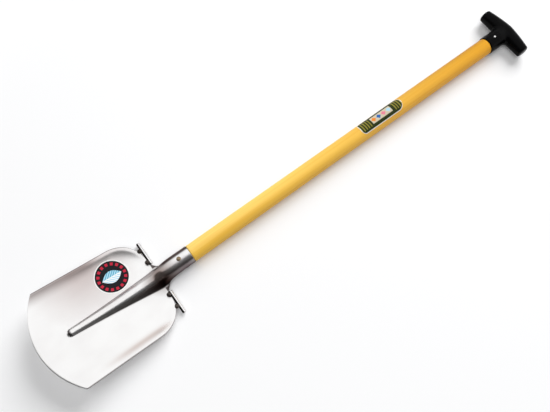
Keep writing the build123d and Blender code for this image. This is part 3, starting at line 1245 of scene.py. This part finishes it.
@dataclass
class WeldBeads(SubAssembly):
    """Four lumps of weld that hold the treads to the blade's top edge."""

    role: Role = Role("tread_weld_beads", "tread_welds", "weld_metal", 80.0)
    radius: float = 4.8
    inner_x: float = 39.0
    outer_x: float = 67.0
    roughness: float = 0.045
    phase_step: float = 1.7
    rows: int = 22
    columns: int = 32

    def bead(self, centre: Grid, phase: float) -> Grid:
        """Ball whose radius ripples with the sum of two waves over its surface.

        Args:
            centre: Middle of the ball.
            phase: Shift of the waves.

        Returns:
            The points.
        """
        rise = np.linspace(-np.pi / 2, np.pi / 2, self.rows)[:, None]
        turn = circle(self.columns)
        ripple = np.sin(3 * turn + phase) * np.cos(2 * rise) + np.sin(5 * rise + 2 * phase + turn)
        ripple = ripple * np.cos(rise) ** 2
        radius = self.radius * (1 + self.roughness * (ripple - 1.0))
        level = radius * np.cos(rise)
        return stack(level * np.sin(turn), radius * np.sin(rise), level * np.cos(turn)) + centre

    def patches(self, datum: Datum) -> list[Patch]:
        """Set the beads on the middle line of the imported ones.

        Args:
            datum: Place of the spade's own axes.

        Returns:
            The four beads.
        """
        low, high = datum.box(self.role.node)
        _, y, z = (low + high) / 2
        places = [(side.value * x, y, z) for side in Side for x in (self.inner_x, self.outer_x)]
        beads = [self.bead(np.array(place), self.phase_step * n) for n, place in enumerate(places)]
        return [Patch(bead, wrap=True) for bead in beads]


@dataclass
class Shaft(SubAssembly):
    """Turned wooden shaft: a round pole with a reduced tenon at each end."""

    role: Role = Role("wooden_shaft", "shaft", "shaft_wood")
    diameter: float = 36.0
    foot_y: float = 24.0
    foot_taper: float = 10.0
    socket_mouth_y: float = 73.0
    grip_mouth_y: float = 858.0
    head_y: float = 904.0
    lower_foot_radius: float = 12.8
    lower_radius: float = 15.9
    upper_radius: float = 15.4
    rounding: float = 2.5
    rounding_rows: int = 8
    body_margin: float = 5.0
    body_rows: int = 60
    columns: int = 96

    def patches(self, datum: Datum) -> list[Patch]:
        """Turn the profile from the lower tenon's end to the upper one's.

        Args:
            datum: Place of the spade's own axes, which the shaft's own sizes don't need.

        Returns:
            The shaft's skin.
        """
        turn, full = quarter(self.rounding_rows), self.diameter / 2
        inward, onward = self.rounding * (1 - np.sin(turn)), self.rounding * (1 - np.cos(turn))
        lower = profile(full - inward, self.socket_mouth_y + onward)
        upper = profile(full - inward, self.grip_mouth_y - onward)
        start, stop = lower[-1, 1] + self.body_margin, upper[-1, 1] - self.body_margin
        rows = np.concatenate([
            [(0.0, self.foot_y), (self.lower_foot_radius, self.foot_y)],
            profile(self.lower_radius, np.array((self.foot_y + self.foot_taper, self.socket_mouth_y))),
            lower, profile(full, np.linspace(start, stop, self.body_rows)), upper[::-1],
            profile(self.upper_radius, np.array((self.grip_mouth_y, self.head_y))), [(0.0, self.head_y)],
        ])
        return [Patch(lathe(rows, self.columns), wrap=True)]


@dataclass
class SocketRivet(SubAssembly):
    """Rivet through the socket: a low domed head on a plain shank."""

    role: Role = Role("socket_rivet_head", "socket_rivet", "rivet_steel")
    y: float = 49.0
    head_radius: float = 4.5
    head_under_z: float = 17.0
    head_rim_z: float = 18.3
    shank_radius: float = 2.45
    dome_rows: int = 14
    columns: int = 40

    def patches(self, datum: Datum) -> list[Patch]:
        """Turn the rivet about the line out of the socket's front.

        Args:
            datum: Place of the spade's own axes.

        Returns:
            The rivet's skin.
        """
        bottom, top = (corner[2] for corner in datum.box(self.role.node))
        rows = np.concatenate([
            [(0.0, bottom), (self.shank_radius, bottom)],
            profile(np.array((self.shank_radius, self.head_radius)), self.head_under_z),
            dome(self.head_radius, self.head_rim_z, top - self.head_rim_z, self.dome_rows),
        ])
        return [Patch(lathe_forward(rows, self.columns, self.y), wrap=True)]


@dataclass
class Grip(SubAssembly):
    """Moulded T grip: a spindle-shaped bar on a round neck that spreads into it."""

    role: Role = Role("moulded_grip", "grip", "grip_plastic", 50.0)
    mouth_y: float = 858.0
    lip: float = 1.0
    lip_rows: int = 6
    neck_radius: float = 19.5
    neck_columns: int = 96
    neck_run: Range = (3.0, 2.0)
    neck_rows: int = 6
    bore_radius: float = 15.6
    bore_top_y: float = 904.0
    bar_centre_y: float = 917.3
    bar_end_y: float = 913.0
    bar_middle_radius: float = 17.5
    bar_end_radius: float = 13.8
    bar_half_length: float = 61.8
    bar_rows: int = 90
    bar_columns: int = 72
    bar_dome: float = 4.6
    dome_power: float = 0.55
    dome_rows: int = 16
    flare_start_y: float = 886.0
    flare_reach: float = 26.0
    flare_wrap: float = 84.0
    flare_leave: float = 0.5
    flare_land: float = 0.45
    flare_sink: float = 0.05
    flare_rows: int = 30

    @property
    def bar_straight(self) -> float:
        """Half length of the bar without its domes."""
        return self.bar_half_length - self.bar_dome

    def bar_line(self, x: Grid) -> tuple[Grid, Grid]:
        """Middle line and radius of the bar, half along straight lines and half along squares.

        Args:
            x: Distances from the centre.

        Returns:
            Height of the middle line, and radius.
        """
        share = np.clip(np.abs(x) / self.bar_straight, 0.0, 1.0)
        soft = (share + share**2) / 2
        middle = mix(self.bar_centre_y, self.bar_end_y, soft)
        return middle, mix(self.bar_middle_radius, self.bar_end_radius, soft)

    def bar(self) -> Grid:
        """Round sections along the bar, closed by a low dome at each end.

        Returns:
            The points, one row for each section.
        """
        turn = quarter(self.dome_rows)
        end_x = self.bar_straight + self.bar_dome * np.sin(turn)
        end_size = np.cos(turn) ** self.dome_power
        body = np.linspace(-self.bar_straight, self.bar_straight, self.bar_rows)[1:-1]
        x = np.concatenate([-end_x[::-1], body, end_x])
        size = np.concatenate([end_size[::-1], np.ones(len(body)), end_size])
        middle, radius = self.bar_line(x)
        radius = (radius * size)[:, None]
        angle = circle(self.bar_columns)
        return stack(x[:, None], middle[:, None] - radius * np.cos(angle), radius * np.sin(angle))

    def flare(self) -> Grid:
        """Cubics that leave the round neck and land level on the bar.

        For a direction round the neck, the landing point lies on the bar at a share of the
        flare's reach along it and of its wrap round it; the cubic ends along the bar's surface.

        Returns:
            The points, one row for each share of the way.
        """
        angle = circle(self.neck_columns)
        around, ahead = np.sin(angle), np.cos(angle)
        x = self.flare_reach * around
        middle, radius = self.bar_line(x)
        wrap = np.radians(self.flare_wrap) * ahead
        end = stack(x, middle - radius * np.cos(wrap), radius * np.sin(wrap))
        outward = stack(0 * x, -np.cos(wrap), np.sin(wrap))
        start = stack(self.neck_radius * around, self.flare_start_y, self.neck_radius * ahead)
        chord = end - start
        glide = chord - outward * np.sum(chord * outward, axis=-1, keepdims=True)
        glide = glide / np.linalg.norm(glide, axis=-1, keepdims=True)
        span = np.linalg.norm(chord, axis=-1, keepdims=True)
        first = start + np.array((0.0, 1.0, 0.0)) * self.flare_leave * span
        second = end - glide * self.flare_land * span
        last = end - self.flare_sink * outward
        share = np.linspace(0.0, 1.0, self.flare_rows)[:, None, None]
        curve = (1 - share) ** 3 * start + 3 * (1 - share) ** 2 * share * first
        return curve + 3 * (1 - share) * share**2 * second + share**3 * last

    def neck(self) -> Grid:
        """Turned part of the neck: its bore, its rounded lip and its outer wall.

        Returns:
            The points, one row for each height.
        """
        turn = quarter(self.lip_rows)
        lip = profile(
            self.neck_radius - self.lip + self.lip * np.sin(turn),
            self.mouth_y + self.lip - self.lip * np.cos(turn),
        )
        start, stop = self.mouth_y + self.neck_run[0], self.flare_start_y - self.neck_run[1]
        rows = np.concatenate([
            [(0.0, self.bore_top_y)],
            profile(self.bore_radius, np.array((self.bore_top_y, self.mouth_y))),
            lip, profile(self.neck_radius, np.linspace(start, stop, self.neck_rows)),
        ])
        return lathe(rows, self.neck_columns)

    def patches(self, datum: Datum) -> list[Patch]:
        """The bar, and the neck that runs on into the flare."""
        neck = np.concatenate([self.neck(), self.flare()])
        return [Patch(self.bar(), wrap=True), Patch(neck, wrap=True)]


@dataclass
class GripPin(SubAssembly):
    """Cross pin that holds the grip on the shaft, with a low domed head in the neck's face."""

    role: Role = Role("grip_cross_pin", "grip_pin", "pin_metal")
    proud: float = 0.55
    rim: float = 0.25
    dome_rows: int = 10
    columns: int = 32

    def patches(self, datum: Datum) -> list[Patch]:
        """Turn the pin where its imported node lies.

        Args:
            datum: Place of the spade's own axes.

        Returns:
            The pin's skin.
        """
        low, high = datum.box(self.role.node)
        radius = (high[0] - low[0]) / 2
        head = dome(radius, high[2] + self.rim, self.proud - self.rim, self.dome_rows)
        rows = np.concatenate([[(0.0, low[2]), (radius, low[2])], head])
        return [Patch(lathe_forward(rows, self.columns, (low[1] + high[1]) / 2), wrap=True)]


@dataclass(frozen=True)
class Inks:
    """Printing colours of the labels."""

    white: Colour = (0.86, 0.86, 0.84)
    black: Colour = (0.012, 0.012, 0.014)
    red: Colour = (0.50, 0.025, 0.05)
    sky: Colour = (0.42, 0.66, 0.80)
    teal: Colour = (0.10, 0.38, 0.52)
    olive: Colour = (0.03, 0.04, 0.012)
    ochre: Colour = (0.28, 0.24, 0.04)
    beige: Colour = (0.62, 0.55, 0.40)
    orange: Colour = (0.80, 0.25, 0.04)
    blue: Colour = (0.03, 0.13, 0.42)
    pink: Colour = (0.75, 0.22, 0.30)


def print_layers(ground: Colour, size: tuple[int, ...], layers: tuple[tuple[Grid, Colour], ...]) -> Grid:
    """Print colours one over the other.

    Args:
        ground: Colour below all layers.
        size: Rows and columns of the print.
        layers: Masks and the colours that they let through, from the lowest up.

    Returns:
        A colour for every point.
    """
    ink = np.broadcast_to(np.array(ground), (*size, 3))
    for mask, colour in layers:
        ink = np.where(mask[..., None], np.array(colour), ink)
    return ink


@dataclass
class BladeLabel(SubAssembly):
    """Round film on the blade: an upright leaf inside a ring of bars."""

    blade: BladeHead
    inks: Inks = Inks()
    role: Role = Role("blade_sticker", "blade_label", "blade_film")
    wall: float = 0.2
    radius: float = 33.5
    border: float = 1.8
    bar_count: int = 16
    bar_share: float = 0.52
    bar_start: float = 23.0
    bar_end: float = 28.6
    leaf_half_length: float = 20.0
    leaf_half_width: float = 12.5
    midrib: float = 1.5
    vein_pitch: float = 5.6
    vein_share: float = 0.5
    x: float = -52.6
    down: float = 71.4
    rings: int = 120
    columns: int = 240

    def ink(self, across: Grid, up: Grid) -> Grid:
        """White border, dark ground, a ring of red bars and a pale leaf with veined halves.

        The leaf's half width falls with the square of the height; its veins slant up from the
        midrib.

        Args:
            across: Distances to the right of the label's middle.
            up: Distances above it.

        Returns:
            A colour for every point.
        """
        inks, far, aside = self.inks, np.hypot(across, up), np.abs(across)
        turn = np.arctan2(across, up) / (2 * np.pi)
        bars = np.mod(turn * self.bar_count, 1.0) < self.bar_share
        leaf = aside < self.leaf_half_width * (1 - (up / self.leaf_half_length) ** 2)
        veins = leaf & (np.mod((up - aside) / self.vein_pitch, 1.0) < self.vein_share)
        return print_layers(inks.black, far.shape, (
            (bars & (far > self.bar_start) & (far < self.bar_end), inks.red),
            (leaf, inks.sky), (veins & (across > 0.0), inks.white), (veins & (across < 0.0), inks.teal),
            (leaf & (aside < self.midrib / 2), inks.white), (far > self.radius - self.border, inks.white),
        ))

    def patches(self, datum: Datum) -> list[Patch]:
        """Lay rings of points on the blade's front, a film's thickness proud of it.

        Args:
            datum: Place of the spade's own axes, which the blade's own sizes don't need.

        Returns:
            The film's face with its print.
        """
        far, turn = np.linspace(0.0, self.radius, self.rings)[:, None], circle(self.columns)
        across, below = far * np.sin(turn), far * np.cos(turn)
        x, down = self.x + across, self.down + below
        points = self.blade.on_floor(x, down, self.blade.dish(x, down) + self.wall)
        return [Patch(points, wrap=True, flip=True, ink=self.ink(across, -below))]


@dataclass
class ShaftLabel(SubAssembly):
    """Film wrapped round the shaft: straight at the lower end, round at the upper one."""

    inks: Inks = Inks()
    role: Role = Role("shaft_sticker", "shaft_label", "shaft_film")
    wall: float = 0.2
    start_y: float = 500.0
    length: float = 111.0
    turn: float = -14.0
    wrap: float = 110.0
    corner: float = 9.0
    shaft_radius: float = 18.0
    margin: float = 1.4
    bar_pitch: float = 6.0
    bar_width: float = 2.3
    bar_half: float = 11.0
    band_start: float = 31.0
    band_end: float = 83.0
    band_half: float = 8.0
    band_gap: float = 4.0
    lozenge: float = 5.8
    rows: int = 220
    columns: int = 90

    def ink(self, across: Grid, along: Grid, room: Grid) -> Grid:
        """Pale outline, olive ground, cross bars at both ends, lozenges on a beige band between.

        Args:
            across: Distances from the middle line.
            along: Distances from the lower end.
            room: Distances from the outline.

        Returns:
            A colour for every point.
        """
        inks, aside = self.inks, np.abs(across)
        ends = (along < self.band_start - self.band_gap) | (along > self.band_end + self.band_gap)
        bars = ends & (np.mod(along, self.bar_pitch) < self.bar_width) & (aside < self.bar_half)
        band = (along > self.band_start) & (along < self.band_end) & (aside < self.band_half)
        colours = (inks.orange, inks.blue, inks.pink, inks.sky)
        edges = np.linspace(self.band_start, self.band_end, len(colours) + 1)
        middles = (edges[:-1] + edges[1:]) / 2
        lozenges = [aside + np.abs(along - middle) < self.lozenge for middle in middles]
        return print_layers(inks.olive, across.shape, (
            (bars, inks.ochre), (band, inks.beige), *zip(lozenges, colours),
            (room < self.margin, inks.white),
        ))

    def patches(self, datum: Datum) -> list[Patch]:
        """Wrap rows of points round the shaft, each as wide as the outline is there.

        Args:
            datum: Place of the spade's own axes, which the shaft's own sizes don't need.

        Returns:
            The film's face with its print.
        """
        half = self.shaft_radius * np.sin(np.radians(self.wrap / 2))
        radius = self.shaft_radius + self.wall
        along = self.length * (1 - np.cos(np.linspace(0.0, np.pi, self.rows))) / 2
        low = np.clip(self.corner - along, 0.0, self.corner)
        high = np.clip(along - self.length + half, 0.0, half)
        width = half - self.corner + np.sqrt(self.corner**2 - low**2)
        width = np.minimum(width, np.sqrt(half**2 - high**2))
        share = np.linspace(-1.0, 1.0, self.columns)
        angle = np.arcsin(width / radius)[:, None] * share
        turned = angle + np.radians(self.turn)
        tall = along[:, None] + 0 * angle
        points = stack(radius * np.sin(turned), self.start_y + tall, radius * np.cos(turned))
        room = np.minimum(width[:, None] * (1 - np.abs(share)), np.minimum(tall, self.length - tall))
        return [Patch(points, ink=self.ink(radius * angle, tall, room))]


@dataclass(frozen=True)
class Lamp:
    """Soft square lamp: its place and side in metres and its power in watts."""

    name: str
    place: Place
    side: float
    power: float

    def light(self) -> Piece:
        """Turn the lamp to the middle of the floor; reflections do not show it.

        Returns:
            The lamp.
        """
        light = bpy.data.lights.new(self.name, "AREA")
        light.size = self.side
        light.energy = self.power
        made = stand(self.name, light)
        place = Vector(self.place)
        made.matrix_world = Matrix.Translation(place) @ place.to_track_quat("Z", "Y").to_matrix().to_4x4()
        made.visible_glossy = False
        return made


@dataclass(frozen=True)
class Flag:
    """Grey panel that only reflections see.

    It spans two angles that lean from straight up, positive ones towards the picture's top, and
    two reaches in metres to the picture's right.
    """

    name: str
    lean: Range
    reach: Range
    shade: float

    def hang(self, distance: float, up: Range) -> Piece:
        """Hang the flat panel between its angles and reaches.

        Args:
            distance: How far its lower and upper edge are from the middle of the floor.
            up: Level direction towards the picture's top.

        Returns:
            The panel.
        """
        low, high = (
            distance * Vector((up[0] * np.sin(angle), up[1] * np.sin(angle), np.cos(angle)))
            for angle in np.radians(self.lean)
        )
        west, east = (reach * Vector((up[1], -up[0], 0.0)) for reach in self.reach)
        mesh = bpy.data.meshes.new(self.name)
        mesh.from_pydata([low + west, low + east, high + east, high + west], [], [(0, 1, 2, 3)])
        desk = MaterialDesk(f"{self.name}_cloth")
        desk.set(Base_Color=BLACK, Roughness=1.0, Specular_IOR_Level=0.0)
        desk.set(Emission_Color=(self.shade, self.shade, self.shade), Emission_Strength=1.0)
        mesh.materials.append(desk.material)
        panel = stand(self.name, mesh)
        for kind in ("camera", "diffuse", "transmission", "volume_scatter", "shadow"):
            setattr(panel, f"visible_{kind}", False)
        return panel


@dataclass
class Studio:
    """Pale floor, soft lamps behind and above, grey flags, white surroundings."""

    lamps: tuple[Lamp, ...] = (
        Lamp("key_lamp", (-2.5, 5.2, 4.0), 5.0, 590.0), Lamp("top_lamp", (0.6, -1.0, 4.4), 3.6, 86.0),
    )
    flags: tuple[Flag, ...] = (
        Flag("front_flag", (-88.0, -9.0), (-9.0, 4.0), 0.125),
        Flag("rear_flag", (58.0, 87.0), (-9.0, 7.0), 0.4),
    )
    flag_distance: float = 3.4
    picture_up: Range = (-0.8, 0.6)
    floor_size: float = 30.0
    floor_albedo: Colour = (0.87, 0.873, 0.88)
    floor_roughness: float = 0.9
    floor_lift: float = 0.08
    floor_near: float = 0.6
    floor_far: float = 2.6
    ambient: float = 0.14

    def floor(self) -> Piece:
        """Wide level floor that looks white where it is not in shadow, and everywhere far off.

        Returns:
            The floor.
        """
        reach = self.floor_size
        corners = [(-reach, -reach, 0.0), (reach, -reach, 0.0), (reach, reach, 0.0), (-reach, reach, 0.0)]
        mesh = bpy.data.meshes.new("studio_floor")
        mesh.from_pydata(corners, [], [(0, 1, 2, 3)])
        desk = MaterialDesk("pale_floor")
        desk.set(Base_Color=self.floor_albedo, Roughness=self.floor_roughness)
        desk.set(Specular_IOR_Level=0.0, Emission_Color=WHITE)
        far = desk.distance((0.0, 0.0, 0.0), self.floor_far)
        near = self.floor_near / self.floor_far
        lift = desk.remap(far, smooth=True, From_Min=near, To_Min=self.floor_lift)
        desk.feed(desk.calculate("MULTIPLY", desk.seen(), lift), "Emission Strength")
        mesh.materials.append(desk.material)
        return stand("studio_floor", mesh)

    def surroundings(self) -> None:
        """White for what is seen, a soft even light for the rest."""
        world = bpy.data.worlds.new("studio_surroundings")
        world.use_nodes = True
        desk = NodeDesk(world.node_tree)
        back = desk.tree.nodes["Background"]
        back.inputs["Color"].default_value = (*WHITE, 1.0)
        desk.link(desk.remap(desk.seen(), To_Min=self.ambient), back.inputs["Strength"])
        bpy.context.scene.world = world

    def build(self) -> None:
        """Set the floor, flags, lamps and surroundings."""
        flags = [flag.hang(self.flag_distance, self.picture_up) for flag in self.flags]
        lamps = [lamp.light() for lamp in self.lamps]
        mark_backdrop(self.floor(), *lamps, *flags)
        self.surroundings()
        bpy.context.scene.view_settings.view_transform = "Standard"
        log.info("studio with %d lamps and %d flags", len(lamps), len(flags))


@dataclass
class ViewCamera:
    """Camera of the picture: eye in the spade's own frame and millimetres, focus in pixels."""

    eye: Place = (316.302, 54.082, 1065.978)
    look: Place = (-0.26322066, 0.18611422, -0.94661311)
    right: Place = (0.59778891, 0.8016072, -0.00862009)
    focal_pixels: float = 562.256
    picture_width: int = 550
    sensor: float = 36.0
    sight: float = 200.0

    def build(self, datum: Datum) -> Piece:
        """Set the camera at the picture's viewing angle.

        Args:
            datum: Place of the spade's own axes.

        Returns:
            The camera.
        """
        view = bpy.data.cameras.new("picture_camera")
        view.sensor_fit = "HORIZONTAL"
        view.sensor_width = self.sensor
        view.lens = self.focal_pixels / self.picture_width * self.sensor
        view.clip_end = self.sight
        view.dof.use_dof = False
        look, right = Vector(self.look).normalized(), Vector(self.right).normalized()
        turn = Matrix((right, right.cross(look), -look)).transposed()
        camera = stand("picture_camera", view)
        camera.matrix_world = Matrix.Translation(datum.spot(*self.eye)) @ turn.to_4x4()
        bpy.context.scene.camera = camera
        return camera


def spade_parts(datum: Datum, shaft: Shaft) -> list[tuple[SubAssembly, Finish]]:
    """List the sub-assemblies with their finishes, in the order in which they are built.

    Args:
        datum: Place of the spade's own axes.
        shaft: The shaft that the datum was read from.

    Returns:
        Pairs of a sub-assembly and its finish.
    """
    blade = BladeHead()
    left_side, neck, socket_side = (
        datum.spot(*point) for point in ((-95.0, -115.0, 15.0), (6.0, 3.0, 10.0), (21.0, 50.0, -4.0))
    )
    # painted reflections and shade: pinkish grey over the blade's left, dark at the neck, purplish grey
    # on the socket's right
    painted_shade_spots = (
        PaintedShadeSpot(left_side, reach=0.11, tint=(0.70, 0.63, 0.62)),
        PaintedShadeSpot(neck, reach=0.042, tint=(0.32, 0.255, 0.235), core=0.25),
        PaintedShadeSpot(socket_side, reach=0.034, tint=(0.5, 0.44, 0.46), core=0.35),
    )
    # the rods are painted black below the own frame's origin, as shade of the gap along the blade
    rod = SteelFinish("drawn_rod", smoothest=0.2, roughest=0.28, gap_shade_y=datum.y)
    bead = SteelFinish(
        "weld_metal_scale", bright=(0.14, 0.12, 0.11), dull=(0.05, 0.045, 0.04),
        smoothest=0.4, roughest=0.6, relief=0.2,
    )
    rivet = SteelFinish(
        "brassy_rivet", bright=(0.55, 0.42, 0.26), dull=(0.3, 0.22, 0.14), smoothest=0.3, roughest=0.45,
    )
    return [
        (blade, SteelFinish("satin_steel", painted_shade_spots=painted_shade_spots, inked=True)),
        *((Tread(side), rod) for side in Side),
        (WeldBeads(), bead),
        (shaft, WoodFinish("lacquered_wood")),
        (SocketRivet(), rivet),
        (Grip(), PlasticFinish("black_plastic")),
        (GripPin(), SteelFinish("pin_zinc", smoothest=0.25, roughest=0.35)),
        (BladeLabel(blade), FilmFinish("blade_print")),
        (ShaftLabel(), FilmFinish("shaft_print")),
    ]


def corners(box: tuple[Vector, Vector]) -> list[list[float]]:
    """Lowest and highest corner as plain lists."""
    return [list(corner) for corner in box]


def main() -> None:
    """Load the frame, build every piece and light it."""
    logging.basicConfig(level=logging.INFO, format="%(name)s: %(message)s")
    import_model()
    packed = corners(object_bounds())
    shaft = Shaft()
    datum = Datum.of_shaft(shaft.foot_y)
    for part, finish in spade_parts(datum, shaft):
        part.build(datum, finish)
    Studio().build()
    ViewCamera().build(datum)
    sizes = {"cad": packed, "visual": corners(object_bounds())}
    log.info("boxes %s", sizes)


if __name__ == "__main__":
    main()
